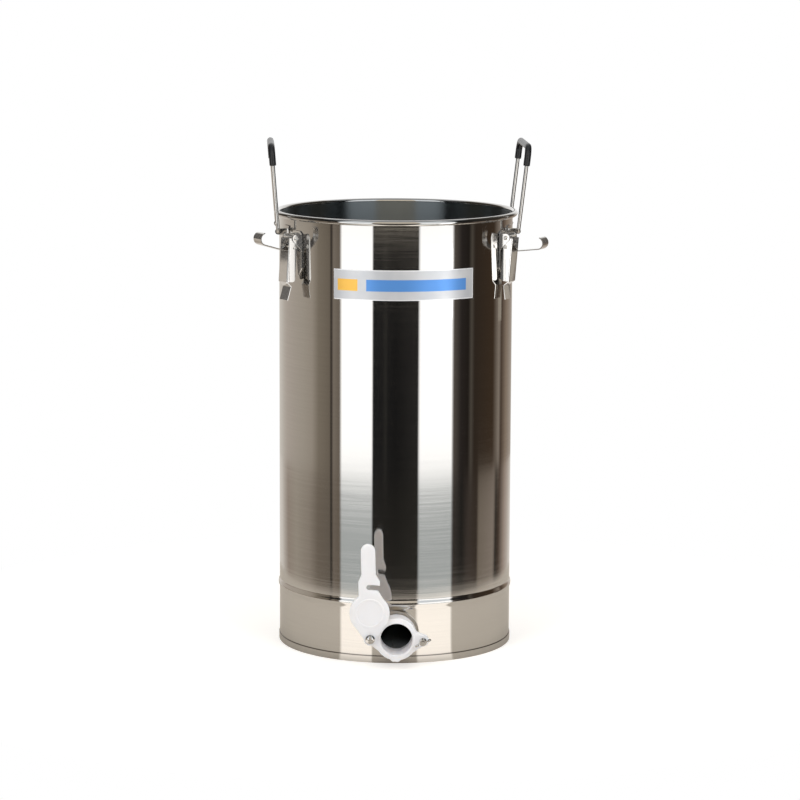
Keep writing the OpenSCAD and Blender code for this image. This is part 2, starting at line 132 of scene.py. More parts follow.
def linear(colour):
    """Turns an sRGB hex colour such as C9C5BF into linear red, green, blue and alpha."""
    channels = []
    for start in (0, 2, 4):
        value = int(colour[start:start + 2], 16) / 255
        channels.append(value / 12.92 if value <= 0.04045 else ((value + 0.055) / 1.055) ** 2.4)
    return (*channels, 1.0)


def set_inputs(tree, node, inputs):
    """Fills or links several inputs of a node."""
    for name, value in inputs.items():
        if isinstance(value, bpy.types.NodeSocket):
            tree.links.new(value, node.inputs[name])
        else:
            node.inputs[name].default_value = value


def add_node(tree, kind, inputs=None, **settings):
    """Adds a node, sets its properties, and fills or links its inputs."""
    node = tree.nodes.new(kind)
    for name, value in settings.items():
        setattr(node, name, value)
    set_inputs(tree, node, inputs or {})
    return node


def new_material(name):
    """Makes an empty node material and returns it with its tree and its Principled shader."""
    material = bpy.data.materials.new(name)
    material.use_nodes = True
    tree = material.node_tree
    tree.nodes.clear()
    shader = add_node(tree, "ShaderNodeBsdfPrincipled")
    add_node(tree, "ShaderNodeOutputMaterial", {"Surface": shader.outputs["BSDF"]})
    return material, tree, shader


def set_surface(tree, surface):
    """Shows another shader than the Principled one."""
    output = next(node for node in tree.nodes if node.type == "OUTPUT_MATERIAL")
    tree.links.new(surface, output.inputs["Surface"])


def colour_ramp(tree, factor, stops, interpolation="LINEAR"):
    """Adds a colour ramp through (position, hex colour) stops."""
    ramp = add_node(tree, "ShaderNodeValToRGB", {"Fac": factor})
    ramp.color_ramp.interpolation = interpolation
    elements = ramp.color_ramp.elements
    while len(elements) > 1:
        elements.remove(elements[-1])
    elements[0].position = stops[0][0]
    elements[0].color = linear(stops[0][1])
    for position, colour in stops[1:]:
        elements.new(position).color = linear(colour)
    return ramp.outputs["Color"]


def reckon(tree, operation, first, second=0.0):
    """Adds a math node on one or two values."""
    return add_node(tree, "ShaderNodeMath", {0: first, 1: second}, operation=operation).outputs[0]


def spread(tree, value, low, high, start=0.0, end=1.0):
    """Adds a node that turns a value between start and end into one between low and high."""
    ends = {"Value": value, "From Min": start, "From Max": end, "To Min": low, "To Max": high}
    return add_node(tree, "ShaderNodeMapRange", ends).outputs["Result"]


def blend(tree, factor, first, second):
    """Adds a mix of two colours."""
    colours = {"Factor": factor, "A": first, "B": second}
    return add_node(tree, "ShaderNodeMix", colours, data_type="RGBA").outputs[2]


def blots(tree, place, size, detail=2.0):
    """Adds noise whose blots are about as wide as size, in the unit of the place."""
    noise = {"Vector": place, "Scale": 1 / size, "Detail": detail}
    return add_node(tree, "ShaderNodeTexNoise", noise).outputs["Fac"]


def own_place(tree):
    """Adds a node that gives a point's place on its own piece, in metres."""
    return add_node(tree, "ShaderNodeTexCoord").outputs["Object"]


def axes_of(tree):
    """Adds nodes that split a point's place on its own piece into X, Y and Z."""
    return add_node(tree, "ShaderNodeSeparateXYZ", {"Vector": own_place(tree)}).outputs


def reach_of(tree, axes):
    """Adds nodes that give the distance from the tank's axis."""
    flat = add_node(tree, "ShaderNodeCombineXYZ", {"X": axes["X"], "Y": axes["Y"]}).outputs["Vector"]
    return add_node(tree, "ShaderNodeVectorMath", {0: flat}, operation="LENGTH").outputs["Value"]


def turn_of(tree, axes):
    """Adds nodes that give the angle round the tank's axis, from the front towards the right."""
    return reckon(tree, "ARCTAN2", axes["X"], reckon(tree, "MULTIPLY", axes["Y"], -1.0))


def off_back(tree, axes):
    """Adds nodes that give the sideways distance from the line up the middle of the tank's back."""
    front = reckon(tree, "LESS_THAN", axes["Y"], 0.0)
    return reckon(tree, "ADD", reckon(tree, "ABSOLUTE", axes["X"]), front)


def bright_rolled_stainless():
    """Cold rolled stainless sheet with a bright finish.

    It mirrors the room sharply from side to side. The rolling lines that run round the tank smear
    the mirror image up and down. The inside is painted darker than the outside as shade, with a tone
    that changes with height, and is dull near the rim. A weld ground flush inside runs up the back, and
    a dark line of painted shade sits in the seam.
    """
    material, tree, shader = new_material("bright_rolled_stainless")
    axes = axes_of(tree)
    height = axes["Z"]
    scale = (1 / LINE_LENGTH, 1 / LINE_LENGTH, 1 / LINE_GAP)
    lines = add_node(tree, "ShaderNodeMapping", {"Vector": own_place(tree), "Scale": scale})
    grain = blots(tree, lines.outputs["Vector"], 1.0, 3.0)
    gloss = spread(tree, grain, 0.046, 0.088, 0.3, 0.7)
    within = reckon(tree, "LESS_THAN", reach_of(tree, axes), WALL_MIDDLE)
    inside = reckon(tree, "MULTIPLY", within, reckon(tree, "LESS_THAN", height, WALL_TOP - ROLL_R))
    rolled = reckon(tree, "GREATER_THAN", height, WALL_TOP - 2 * ROLL_R)
    off_weld = reckon(tree, "ADD", off_back(tree, axes), reckon(tree, "ADD", within, rolled))
    weld = spread(tree, off_weld, 1.0, 0.0, WELD_SOLID, WELD_END)
    rubbed = spread(tree, height, gloss, INSIDE_ROUGHNESS, DULL_LOW, DULL_HIGH)
    off_seam = reckon(tree, "ABSOLUTE", reckon(tree, "SUBTRACT", height, SEAM_H))
    # Painted shade: a dark line along the crevice where the wall meets the seam
    seam_shade = spread(tree, off_seam, 0.6, 0.0, SEAM_SHADE_SOLID, SEAM_SHADE_END)
    bright = colour_ramp(tree, grain, [(0.3, "CCCAC7"), (0.7, "D1CFCC")])
    depth = spread(tree, height, 0.0, 1.0, 0.0, WALL_TOP)
    # Painted shade: the inside is darker than the outside, in a tone that changes with height
    painted_inside_shade = colour_ramp(tree, depth, [(0.3, "B6B8B9"), (0.75, "A0A6A8")])
    joined = blend(tree, weld, blend(tree, inside, bright, painted_inside_shade), linear("8F8A83"))
    tangent = add_node(tree, "ShaderNodeTangent", direction_type="RADIAL", axis="Z")
    set_inputs(tree, shader, {
        "Base Color": blend(tree, seam_shade, joined, linear("3B3026")), "Metallic": 1.0,
        "Roughness": spread(tree, weld, spread(tree, inside, gloss, rubbed), WELD_ROUGHNESS),
        "Anisotropic": 1.0, "Anisotropic Rotation": 0.25, "Tangent": tangent.outputs["Tangent"]})
    return material


def turned_stainless():
    """Turned and pickled stainless of the ferrule: satin, with faint tool rings round the outlet."""
    material, tree, shader = new_material("turned_stainless")
    scale = (0, 1 / TOOL_RING_GAP, 0)
    rings = add_node(tree, "ShaderNodeMapping", {"Vector": own_place(tree), "Scale": scale})
    cuts = blots(tree, rings.outputs["Vector"], 1.0)
    colour = colour_ramp(tree, cuts, [(0.3, "B3AB9F"), (0.7, "BFB8AD")])
    rough = spread(tree, cuts, 0.26, 0.36)
    set_inputs(tree, shader, {"Base Color": colour, "Metallic": 1.0, "Roughness": rough})
    return material


def pressed_bright_steel():
    """Nickel-bright pressed steel of the latches: a clear mirror with faint press marks."""
    material, tree, shader = new_material("pressed_bright_steel")
    marks = blots(tree, own_place(tree), 9 * MM, 4.0)
    rough = spread(tree, marks, 0.045, 0.075, 0.3, 0.7)
    set_inputs(tree, shader, {"Base Color": linear("E0DEDB"), "Metallic": 0.84, "Roughness": rough})
    return material


def sheared_strip_steel():
    """Bright strip of the hooks: its faces mirror clearly and its sheared edges are darker and satin."""
    material, tree, shader = new_material("sheared_strip_steel")
    spot = add_node(tree, "ShaderNodeTexCoord").outputs
    split = add_node(tree, "ShaderNodeSeparateXYZ", {"Vector": spot["Object"]}).outputs
    back = reckon(tree, "MULTIPLY", split["Y"], -1.0)
    sideways = add_node(tree, "ShaderNodeCombineXYZ", {"X": back, "Y": split["X"]}).outputs["Vector"]
    across = add_node(tree, "ShaderNodeVectorMath", {0: sideways}, operation="NORMALIZE").outputs["Vector"]
    facing = add_node(tree, "ShaderNodeVectorMath", {0: spot["Normal"], 1: across}, operation="DOT_PRODUCT")
    edge = reckon(tree, "ABSOLUTE", facing.outputs["Value"])
    sheared = spread(tree, edge, 0.0, 1.0, 0.6, 0.85)
    face = spread(tree, blots(tree, spot["Object"], 9 * MM), 0.05, 0.09)
    colour = colour_ramp(tree, sheared, [(0.0, "DEDCD9"), (1.0, "78726B")])
    rough = spread(tree, sheared, face, 0.32)
    set_inputs(tree, shader, {"Base Color": colour, "Metallic": 0.9, "Roughness": rough})
    return material


def drawn_steel_wire():
    """Bright drawn wire of the handles: a smooth narrow mirror with the faintest change in gloss."""
    material, tree, shader = new_material("drawn_steel_wire")
    rough = spread(tree, blots(tree, own_place(tree), 25 * MM), 0.06, 0.09)
    set_inputs(tree, shader, {"Base Color": linear("CFCDCA"), "Metallic": 0.94, "Roughness": rough})
    return material


def zinc_plated_steel():
    """Bright zinc plated screw steel: a clear mirror, slightly blotched by the plating."""
    material, tree, shader = new_material("zinc_plated_steel")
    plating = blots(tree, own_place(tree), 4 * MM, 3.0)
    colour = colour_ramp(tree, plating, [(0.3, "BBBAB8"), (0.7, "CFCECC")])
    rough = spread(tree, plating, 0.1, 0.18)
    set_inputs(tree, shader, {"Base Color": colour, "Metallic": 1.0, "Roughness": rough})
    return material


def moulded_nylon():
    """White moulded nylon: a soft sheen, a very fine moulded texture, and light that soaks through."""
    material, tree, shader = new_material("moulded_nylon")
    texture = blots(tree, own_place(tree), 1.2 * MM, 3.0)
    bump = add_node(tree, "ShaderNodeBump", {"Height": texture, "Strength": 0.08, "Distance": 0.1 * MM})
    set_inputs(tree, shader, {
        "Base Color": linear("F3F1F4"), "Roughness": spread(tree, texture, 0.32, 0.46), "IOR": 1.53,
        "Subsurface Weight": 0.95, "Subsurface Radius": (1.0, 0.92, 0.86), "Subsurface Scale": 11 * MM,
        "Normal": bump.outputs["Normal"]})
    return material


def dipped_vinyl():
    """Black vinyl sleeve: glossy, with the faint ripple of a tube pushed over wire."""
    material, tree, shader = new_material("dipped_vinyl")
    ripple = blots(tree, own_place(tree), 6 * MM)
    bump = add_node(tree, "ShaderNodeBump", {"Height": ripple, "Strength": 0.12, "Distance": 0.3 * MM})
    set_inputs(tree, shader, {
        "Base Color": linear("1B1B1D"), "Roughness": spread(tree, ripple, 0.22, 0.4), "IOR": 1.53,
        "Normal": bump.outputs["Normal"]})
    return material


def moulded_rubber():
    """Black moulded rubber of the gasket: dull and slightly mottled."""
    material, tree, shader = new_material("moulded_rubber")
    mottle = blots(tree, own_place(tree), 3 * MM, 3.0)
    colour = colour_ramp(tree, mottle, [(0.3, "161616"), (0.7, "222222")])
    set_inputs(tree, shader, {"Base Color": colour, "Roughness": 0.7, "IOR": 1.52})
    return material


def silver_label_film():
    """Silver polyester label film: satin, with a white edge and a plain printed band and block."""
    material, tree, shader = new_material("silver_label_film")
    colours = bpy.context.scene.tank_colours
    axes = axes_of(tree)
    ends = [math.atan2(corner.x, -LABEL_HIGH.y) for corner in (LABEL_LOW, LABEL_HIGH)]
    across = spread(tree, turn_of(tree, axes), 0.0, 1.0, *ends)
    up = spread(tree, axes["Z"], 0.0, 1.0, LABEL_LOW.z, LABEL_HIGH.z)

    def patch(columns, rows):
        """Gives white between two shares of the label's length and of its height, black elsewhere."""
        sides = []
        for share, (low, high) in ((across, columns), (up, rows)):
            stops = [(0.0, "000000"), (low, "FFFFFF"), (high, "000000")]
            sides.append(colour_ramp(tree, share, stops, "CONSTANT"))
        return reckon(tree, "MULTIPLY", *sides)

    shine = blots(tree, own_place(tree), 30 * MM)
    film = colour_ramp(tree, shine, [(0.3, "C3C6CB"), (0.7, "D3D4D6")])
    for columns, print_colour in ((LABEL_BAND, colours.label_band), (LABEL_BLOCK, colours.label_block)):
        film = blend(tree, patch(columns, LABEL_ROWS), film, print_colour)
    edged = blend(tree, patch(*LABEL_FIELD), linear("F2F3F5"), film)
    rough = spread(tree, shine, 0.28, 0.4)
    set_inputs(tree, shader, {"Base Color": edged, "Metallic": 0.35, "Roughness": rough})
    return material


FINISHES = {
    "stainless_wall": bright_rolled_stainless,
    "steel_wire": drawn_steel_wire,
    "label_film": silver_label_film,
    "gasket_rubber": moulded_rubber,
    "gate_nylon": moulded_nylon,
    "zinc_hardware": zinc_plated_steel,
    "latch_steel": pressed_bright_steel,
    "grip_plastic": dipped_vinyl,
    "outlet_ferrule": turned_stainless,
    "latch_hook_left": sheared_strip_steel,
    "latch_hook_right": sheared_strip_steel,
    "latch_hook_back": sheared_strip_steel,
}
NODE_SLOTS = {entry["node"]: entry["material_slot"] for entry in frame["record"]["subparts"]}
NODE_BODIES = {node: body for body, nodes in BEHAVIOUR["bodies"].items() for node in nodes}
made_finishes = {}


def finish_of(node):
    """Gives the finish of a node, or else of its slot, made once."""
    make = FINISHES[node if node in FINISHES else NODE_SLOTS[node]]
    if make not in made_finishes:
        made_finishes[make] = make()
    return made_finishes[make]


def paint_node(node):
    """Gives a carried-over solid its finish."""
    mesh = frame["nodes"][node].data
    mesh.materials.clear()
    mesh.materials.append(finish_of(node))


def mesh_of(name, form):
    """Turns a built form into a mesh."""
    mesh = bpy.data.meshes.new(name)
    form.to_mesh(mesh)
    form.free()
    return mesh


def put(name, data):
    """Adds an object to the scene."""
    item = bpy.data.objects.new(name, data)
    bpy.context.scene.collection.objects.link(item)
    return item


def stand_in(node, form):
    """Turns a built form into the piece that shows in place of a carried-over solid."""
    for face in form.faces:
        face.smooth = True
    for edge in form.edges:
        edge.smooth = len(edge.link_faces) == 2 and edge.calc_face_angle() < SMOOTH_ANGLE
    mesh = mesh_of(node + "_built", form)
    piece = put(node + "_built", mesh)
    normals = piece.modifiers.new("even_shading", "WEIGHTED_NORMAL")
    normals.keep_sharp = True
    mesh.materials.append(finish_of(node))
    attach(piece, NODE_BODIES[node])
    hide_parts(node)


def round_edges(node, radius, segments=2):
    """Builds a copy of a solid with its sharp edges rounded, to stand in its place."""
    form = bmesh.new()
    form.from_mesh(frame["nodes"][node].data)
    bmesh.ops.remove_doubles(form, verts=form.verts, dist=JOIN_GAP)
    bmesh.ops.dissolve_limit(form, angle_limit=FLAT_ANGLE, verts=form.verts, edges=form.edges)
    folds = [edge for edge in form.edges if len(edge.link_faces) == 2]
    edges = [edge for edge in folds if edge.calc_face_angle() > ROUND_ANGLE]
    bmesh.ops.bevel(form, geom=edges, offset=radius, offset_type="OFFSET", segments=segments, profile=0.5,
                    affect="EDGES", clamp_overlap=True)
    stand_in(node, form)


def revolve(form, section, steps=288):
    """Turns a closed section of (distance from the axis, height) points round the tank's axis."""
    columns = []
    for step in range(steps):
        angle = 2 * math.pi * step / steps
        aside, front = math.sin(angle), math.cos(angle)
        columns.append([form.verts.new((out * aside, -out * front, up)) for out, up in section])
    for first, second in zip(columns, columns[1:] + columns[:1]):
        for index in range(len(section)):
            after = (index + 1) % len(section)
            form.faces.new((first[index], second[index], second[after], first[after]))
    bmesh.ops.recalc_face_normals(form, faces=form.faces)


def bead_rise(height):
    """Gives how far the wall stands out at a height, for the bead pressed round it."""
    off = (height - BEAD_Z) / BEAD_H
    return BEAD_OUT * (1 + math.cos(2 * math.pi * off)) / 2 if abs(off) < 0.5 else 0.0


def wall_section():
    """Gives the section of the wall's sheet, from the seam to the rolled rim."""
    steps = 28
    heights = [SHEET_T]
    heights += [BEAD_Z + BEAD_H * (step / steps - 0.5) for step in range(steps + 1)]
    heights.append(WALL_TOP - ROLL_R - SHEET_T)
    outer = [(WALL_R + bead_rise(height), height) for height in heights]
    return outer + [(out - SHEET_T, height) for out, height in reversed(outer)]


def roll_section():
    """Gives the section of the rim, rolled outward and open by a slot where the sheet's edge stops."""
    middle = (WALL_R - SHEET_T + ROLL_R, WALL_TOP - ROLL_R)
    steps = 44
    outer = bend(middle, ROLL_R, ROLL_START, ROLL_END, steps)
    return outer + bend(middle, ROLL_R - SHEET_T, ROLL_END, ROLL_START, steps)


def seam_section():
    """Gives the section of the bottom pan with the fold that holds the wall, its edges rounded."""
    inside = WALL_R - SHEET_T - JOINT_GAP
    fold_in = WALL_R + JOINT_GAP
    fold_out = fold_in + SHEET_T
    soft = SHEET_T / 2
    pan = inside - SHEET_T
    section = [(pan - PAN_BEND, FLOOR_Z), (pan, FLOOR_Z - PAN_BEND / 2), (pan, 0.0)]
    section += bend((fold_out - soft, soft), soft, -90, 0, steps=4)
    section += bend((fold_out - soft, SEAM_H - soft), soft, 0, 90, steps=4)
    section += [(fold_in, SEAM_H), (fold_in, SHEET_T), (inside, SHEET_T), (inside, FLOOR_Z + SHEET_T)]
    return section + [(AXIS_GAP, FLOOR_Z + SHEET_T), (AXIS_GAP, FLOOR_Z)]


def build_wall():
    """Turns the wall and its rolled rim and cuts the outlet's hole."""
    sheet = bmesh.new()
    revolve(sheet, wall_section())
    wall = put("wall_sheet", mesh_of("wall_sheet", sheet))
    drill = bmesh.new()
    way = Matrix.Translation((0, -WALL_R, OUTLET_Z)) @ Matrix.Rotation(math.radians(90), 4, "X")
    bmesh.ops.create_cone(
        drill, cap_ends=True, segments=96, radius1=OUTLET_R, radius2=OUTLET_R, depth=WALL_R, matrix=way)
    hole = put("outlet_hole", mesh_of("outlet_hole", drill))
    cut = wall.modifiers.new("outlet", "BOOLEAN")
    cut.object = hole
    cut.solver = "EXACT"
    ready = wall.evaluated_get(bpy.context.evaluated_depsgraph_get())
    form = bmesh.new()
    form.from_mesh(ready.data)
    for item in (wall, hole):
        bpy.data.objects.remove(item)
    revolve(form, roll_section())
    stand_in("tank_shell", form)


def build_bottom():
    """Turns the bottom pan with its folded seam."""
    form = bmesh.new()
    revolve(form, seam_section())
    stand_in("tank_bottom", form)


def bend(middle, radius, start, end, steps=12):
    """Gives the points of a bend between two angles in degrees, across and up."""
    points = []
    for step in range(steps + 1):
        angle = math.radians(start + (end - start) * step / steps)
        points.append((middle[0] + radius * math.cos(angle), middle[1] + radius * math.sin(angle)))
    return points


def sweep_handle(node, side, half):
    """Sweeps a round section through the left half of a handle's line and its mirror image."""
    rings = half + [(-across, up, radius) for across, up, radius in reversed(half)]
    pivot = Vector(JOINTS["bail_" + side + "_hinge"]["pos_m"])
    turn = math.atan2(pivot.x, -pivot.y)
    place = (Matrix.Translation(pivot) @ Matrix.Rotation(turn, 4, "Z")
             @ Matrix.Rotation(HANDLE_LEANS[side], 4, "X"))
    spots = [Vector((across, 0, up)) for across, up, radius in rings]
    steps = [(second - first).normalized() for first, second in zip(spots, spots[1:])]
    sections = 32
    form = bmesh.new()
    loops = []
    for spot, ring, before, after in zip(spots, rings, steps[:1] + steps, steps + steps[-1:]):
        along = (before + after).normalized()
        outward = along.cross(Vector((0, 1, 0)))
        loop = []
        for section in range(sections):
            angle = 2 * math.pi * section / sections
            edge = outward * math.cos(angle) + Vector((0, 1, 0)) * math.sin(angle)
            loop.append(form.verts.new(place @ (spot + edge * ring[2])))
        loops.append(loop)
    for first, second in zip(loops, loops[1:]):
        for section in range(sections):
            after = (section + 1) % sections
            form.faces.new((first[section], first[after], second[after], second[section]))
    form.faces.new(loops[0])
    form.faces.new(loops[-1])
    bmesh.ops.recalc_face_normals(form, faces=form.faces)
    stand_in(node, form)


def bail_half():
    """Gives the left half of a handle's wire: peened head, pin, foot bend, leg and top corner."""
    foot = -(LEG_HALF - FOOT_BEND)
    head = foot + PIN_L
    rings = []
    steps = 5
    for step in range(steps + 1):
        angle = math.radians(PEEN_FLAT + (90 - PEEN_FLAT) * step / steps)
        rings.append((head + PEEN_T * math.cos(angle), 0.0, PEEN_R * math.sin(angle)))
    rings += [(head - 2 * PEEN_STEP, 0.0, PEEN_R), (head - 3 * PEEN_STEP, 0.0, WIRE_R)]
    line = bend((foot, FOOT_BEND), FOOT_BEND, 270, 180)
    line += bend((CORNER_R - LEG_HALF, HANDLE_TOP - CORNER_R), CORNER_R, 180, 90)
    return rings + [(across, up, WIRE_R) for across, up in line]


def grip_half():
    """Gives the left half of a handle's sleeve, with a rounded lower end close to the wire."""
    rings = []
    steps = 6
    for step in range(steps):
        angle = math.radians(90 * step / steps)
        up = GRIP_LOW + GRIP_EDGE * (1 - math.cos(angle))
        rings.append((-LEG_HALF, up, GRIP_R - GRIP_EDGE + GRIP_EDGE * math.sin(angle)))
    line = [(-LEG_HALF, GRIP_LOW + GRIP_EDGE)]
    line += bend((CORNER_R - LEG_HALF, HANDLE_TOP - CORNER_R), CORNER_R, 180, 90)
    return rings + [(across, up, GRIP_R) for across, up in line]


class TankColours(bpy.types.PropertyGroup):
    """Colours that a user would change"""
    label_band: FloatVectorProperty(
        name="Label band", description="Colour of the plain band printed on the label",
        subtype="COLOR", size=4, min=0, max=1, default=linear("5B95DC"))
    label_block: FloatVectorProperty(
        name="Label block", description="Colour of the plain block printed at the label's left end",
        subtype="COLOR", size=4, min=0, max=1, default=linear("F2BE55"))
    floor: FloatVectorProperty(
        name="Floor", description="Colour of the pale studio floor",
        subtype="COLOR", size=4, min=0, max=1, default=linear("DAD5CE"))


class TankSizes(bpy.types.PropertyGroup):
    """Sizes that a user would change"""
    sheet_edge: FloatProperty(
        name="Sheet edge", description="Rounding of cut sheet edges on the latches",
        unit="LENGTH", default=0.25 * MM)
    mould_edge: FloatProperty(
        name="Moulded edge", description="Rounding of the gate's moulded edges",
        unit="LENGTH", default=0.7 * MM)
    ear_edge: FloatProperty(
        name="Ear edge", description="Rounding of the edges of the handles' ears",
        unit="LENGTH", default=0.4 * MM)
    screw_edge: FloatProperty(
        name="Screw edge", description="Rounding of the edges of the gate's screws and nuts",
        unit="LENGTH", default=0.25 * MM)
    studio_r: FloatProperty(
        name="Studio radius", description="Distance of the studio's reflector ring from the tank",
        unit="LENGTH", default=1.42)
    sheet_r: FloatProperty(
        name="Floor sheet radius",
        description="Radius of the pale floor near the tank that the wall mirrors",
        unit="LENGTH", default=0.52)


class DressWall(bpy.types.Operator):
    """Turns the wall and bottom and finishes the rim's wire, label, ferrule and gasket"""
    bl_idname = "honey_tank.dress_wall"
    bl_label = "Wall"

    def execute(self, context):
        build_wall()
        build_bottom()
        for node in ("rim_wire", "label_plate", "outlet_ferrule", "gate_gasket"):
            paint_node(node)
        return {"FINISHED"}


class DressLatches(bpy.types.Operator):
    """Rounds and finishes the lid latches"""
    bl_idname = "honey_tank.dress_latches"
    bl_label = "Latches"

    def execute(self, context):
        edge = context.scene.tank_sizes.sheet_edge
        paint_node("latch_rivets")
        for side in LATCH_SIDES:
            paint_node("hook_pin_" + side)
            for kind in ("latch_base_", "latch_lever_", "latch_hook_"):
                round_edges(kind + side, edge)
        return {"FINISHED"}


class DressHandles(bpy.types.Operator):
    """Sweeps the swing handles' wires and sleeves and rounds their ears"""
    bl_idname = "honey_tank.dress_handles"
    bl_label = "Handles"

    def execute(self, context):
        for side in HANDLE_SIDES:
            sweep_handle("handle_bail_" + side, side, bail_half())
            sweep_handle("handle_grip_" + side, side, grip_half())
            round_edges("handle_ears_" + side, context.scene.tank_sizes.ear_edge)
        return {"FINISHED"}


class DressGate(bpy.types.Operator):
    """Rounds and finishes the honey gate and its hardware"""
    bl_idname = "honey_tank.dress_gate"
    bl_label = "Gate"

    def execute(self, context):
        sizes = context.scene.tank_sizes
        for node in ("gate_body", "gate_blade"):
            round_edges(node, sizes.mould_edge, 3)
        for node in ("pivot_screw", "pivot_nut", "clamp_bolt", "wing_nut"):
            round_edges(node, sizes.screw_edge)
        return {"FINISHED"}


class SetStage(bpy.types.Operator):
    """Builds the floor, reflectors, lights, world and camera"""
    bl_idname = "honey_tank.set_stage"
    bl_label = "Studio"

    def execute(self, context):
        build_floor(context)
        build_reflectors(context)
        build_lights()
        build_world(context)
        build_camera(context)
        context.scene.view_settings.view_transform = "Standard"
        return {"FINISHED"}


# Colours of the studio that the wall mirrors, by degrees to the right of the camera's side of the tank.
# The degrees are the direction in which a ray leaves the wall.
ROOM = (
    (-180, "A6A19A"), (-158, "A6A19A"), (-139, "9B938B"), (-105, "918A80"), (-92, "8A8278"),
    (-83, "6F675C"), (-69, "625A50"), (-67.5, "2E2925"), (-66.5, "2E2925"), (-65, "6E665D"),
    (-57, "5F574E"), (-55.5, "FFFFFF"), (-24, "FFFFFF"), (-22.5, "1A1A1A"), (-13, "181818"),
    (-10.5, "262523"), (-8, "171717"), (0, "131313"), (21.5, "222120"), (23, "FFFFFF"),
    (57, "FFFFFF"), (58, "4E4843"), (67, "25211F"), (76, "1D1916"), (80, "443F39"),
    (84, "2A231D"), (113, "34291F"), (125, "756C63"), (130, "3E332B"), (143, "716458"),
    (168, "8A827A"), (180, "A6A19A"),
)
# Colours of the dark floor beyond the pale sheet, with grey skirts under the softboxes
SKIRT = (
    (-180, "A39E98"), (-158, "A39E98"), (-137, "7A7067"), (-118, "80796F"), (-97, "746C63"),
    (-84, "5B534A"), (-69, "544D45"), (-67.5, "26231F"), (-66.5, "26231F"), (-65, "5C544C"),
    (-57, "544C43"), (-55.5, "8E9292"), (-24, "8E9292"), (-22.5, "1E1D1B"), (0, "191816"),
    (21.5, "201F1C"), (23, "8E9292"), (57, "8E9292"), (58, "302C29"), (69, "1A1917"),
    (77, "322C28"), (89, "2E2721"), (92, "60584F"), (116, "6E655D"), (121, "282420"),
    (128, "3A3029"), (143, "80746B"), (168, "A39E98"), (180, "A39E98"),
)
# Colours of the pale sheet round the tank, bright in front under the softboxes
SHEET = (
    (-180, "69645D"), (-57, "69645D"), (-55.5, "FFF9F2"), (-24, "FFF9F2"), (-22.5, "625D56"),
    (20, "625D56"), (21.5, "FFF9F2"), (57, "FFF9F2"), (58, "69645D"), (180, "69645D"),
)
# Colours of the studio above the tank's rim, with a white back, for the rim, the inside and the grips
UPPER = (
    (-180, "FFFFFF"), (-162, "F2F1EF"), (-148, "4A443D"), (-57, "15191B"), (-55.5, "F4FAFF"),
    (-24, "F4FAFF"), (-22.5, "E2D8C8"), (21.5, "E2D8C8"), (23, "F4FAFF"), (57, "F4FAFF"),
    (58, "15191B"), (148, "4A443D"), (162, "F2F1EF"), (180, "FFFFFF"),
)
SOFTBOX_STRENGTH = 1.75
SKIRT_STRENGTH = 2.0
# Over this last reach before the ring the skirts take on up to this share of the ring's colour
SKIRT_REACH = 0.45
SKIRT_BLEND = 0.2
FLOOR_SIZE = 14.0
# The floor shows the tank's shadow near it and turns plain white further out
SHADOW_END = 0.3
WHITE_START = 0.7
FLOOR_GLOW = 0.5
# Half the width of the soft edge of the pale sheet
SHEET_FADE = 0.012
# The mirrored floor is darker close to the foot, where the tank keeps the light off
FOOT_SHADE = 0.45
FOOT_SHADE_START = 0.155
FOOT_SHADE_END = 0.2
RING_HEIGHT = 2.4
# The upper ring hangs just inside the main one, above what the wall mirrors
UPPER_SHARE = 0.97
UPPER_LOW = 0.46
CEILING = "A2A5A8"
RING_STEPS = 128
CARD_STEPS = 8
# Small cards for the right latch: name, distance from the axis, bottom, top, two directions in degrees,
# colour, strength
CARDS = (
    ("latch_card", 0.295, 0.42, 0.51, 32.5, 42.5, "FFFFFF", 3.0),
    ("lever_card", 0.305, 0.4, 0.49, 95.5, 101.5, "A89F92", 1.0),
)
# Soft lamps: name, place, power, size
LAMPS = (
    ("lamp_left", (-1.1, -1.5, 1.3), 17, 1.0),
    ("lamp_right", (1.1, -1.5, 1.3), 17, 1.0),
    ("lamp_top", (0, 0, 2.2), 22, 1.6),
)
LAMP_AIM = Vector((0, 0, 0.3))
FILL_STRENGTH = 0.35
# Place and angles of the camera, fitted to the rim, the foot and the sides of the wall in the photograph
CAMERA_PLACE = Vector((-57.5, -3975.7, 938.8)) * MM
CAMERA_TURN = math.radians(0.926)
CAMERA_DIP = math.radians(8.947)
CAMERA_ROLL = math.radians(-0.248)
CAMERA_LENS = 139.6
CAMERA_SENSOR = 36
CAMERA_SHIFT = 0.0006


def around_colour(tree, stops):
    """Adds nodes that give a colour by the direction in which the wall's mirrored ray gets there.

    A ray that leaves a round wall of radius r at angle a runs in direction 2a and is at angle
    a (2 - r / reach) when it gets as far as reach, so that angle is turned back into 2a.
    """
    axes = axes_of(tree)
    part = reckon(tree, "SUBTRACT", 2.0, reckon(tree, "DIVIDE", WALL_MIDDLE, reach_of(tree, axes)))
    aimed = reckon(tree, "MULTIPLY", turn_of(tree, axes), reckon(tree, "DIVIDE", 2.0, part))
    share = spread(tree, aimed, 0.0, 1.0, -math.pi, math.pi)
    return colour_ramp(tree, share, [((angle + 180) / 360, colour) for angle, colour in stops])


